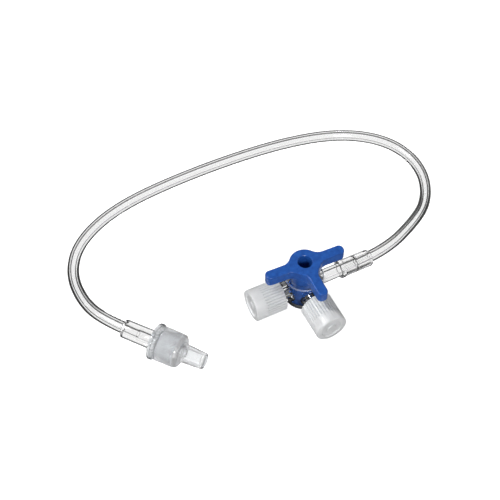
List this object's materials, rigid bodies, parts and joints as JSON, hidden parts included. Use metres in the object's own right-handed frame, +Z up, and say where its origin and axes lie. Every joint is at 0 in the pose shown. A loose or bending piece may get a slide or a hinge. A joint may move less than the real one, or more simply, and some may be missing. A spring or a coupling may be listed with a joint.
{
  "type": "three way stopcock with extension tube",
  "caption": "Clear three way stopcock with a blue T-handle tap, capped luer lock ports and a clear extension tube that ends in a capped male luer lock.",
  "frame": {"origin": "where the plug's axis meets the plane that the barrel stands on", "axes": "+X along the main line towards the extension tube, -X and -Y along the two capped ports, +Z up along the plug's axis towards the handle"},
  "size_m": [0.1266, 0.0793, 0.0171],
  "materials": {
    "clear_polycarbonate": "clear, moulded and polished",
    "blue_polyethylene": "moulded, satin",
    "frosted_cap": "natural polypropylene, milky and matte",
    "clear_pvc": "clear soft tubing, glossy"
  },
  "bodies": {
    "stopcock": {"stopcock_body": "clear_polycarbonate", "tube_adaptor": "clear_polycarbonate", "extension_tube": "clear_pvc", "male_luer_connector": "clear_polycarbonate"},
    "tap": {"tap_handle": "blue_polyethylene"},
    "left_cap": {"left_port_cap": "frosted_cap"},
    "front_cap": {"front_port_cap": "frosted_cap"},
    "collar": {"lock_collar": "clear_polycarbonate"},
    "luer_cap": {"male_luer_cap": "frosted_cap"}
  },
  "joints": [
    {"name": "tap_turn", "type": "hinge", "parent": "stopcock", "child": "tap", "pos_m": [0, 0, 0.0052], "axis": [0, 0, 1], "continuous": true},
    {"name": "left_cap_slide", "type": "slide", "parent": "stopcock", "child": "left_cap", "axis": [-1, 0, 0], "range_m": [0, 0.014]},
    {"name": "front_cap_slide", "type": "slide", "parent": "stopcock", "child": "front_cap", "axis": [0, -1, 0], "range_m": [0, 0.014]},
    {"name": "collar_spin", "type": "hinge", "parent": "stopcock", "child": "collar", "pos_m": [-0.04889, 0.00133, 0.0056], "axis": [0.6239, -0.7815, 0], "continuous": true},
    {"name": "luer_cap_slide", "type": "slide", "parent": "collar", "child": "luer_cap", "axis": [0.6239, -0.7815, 0], "range_m": [0, 0.012]}
  ]
}
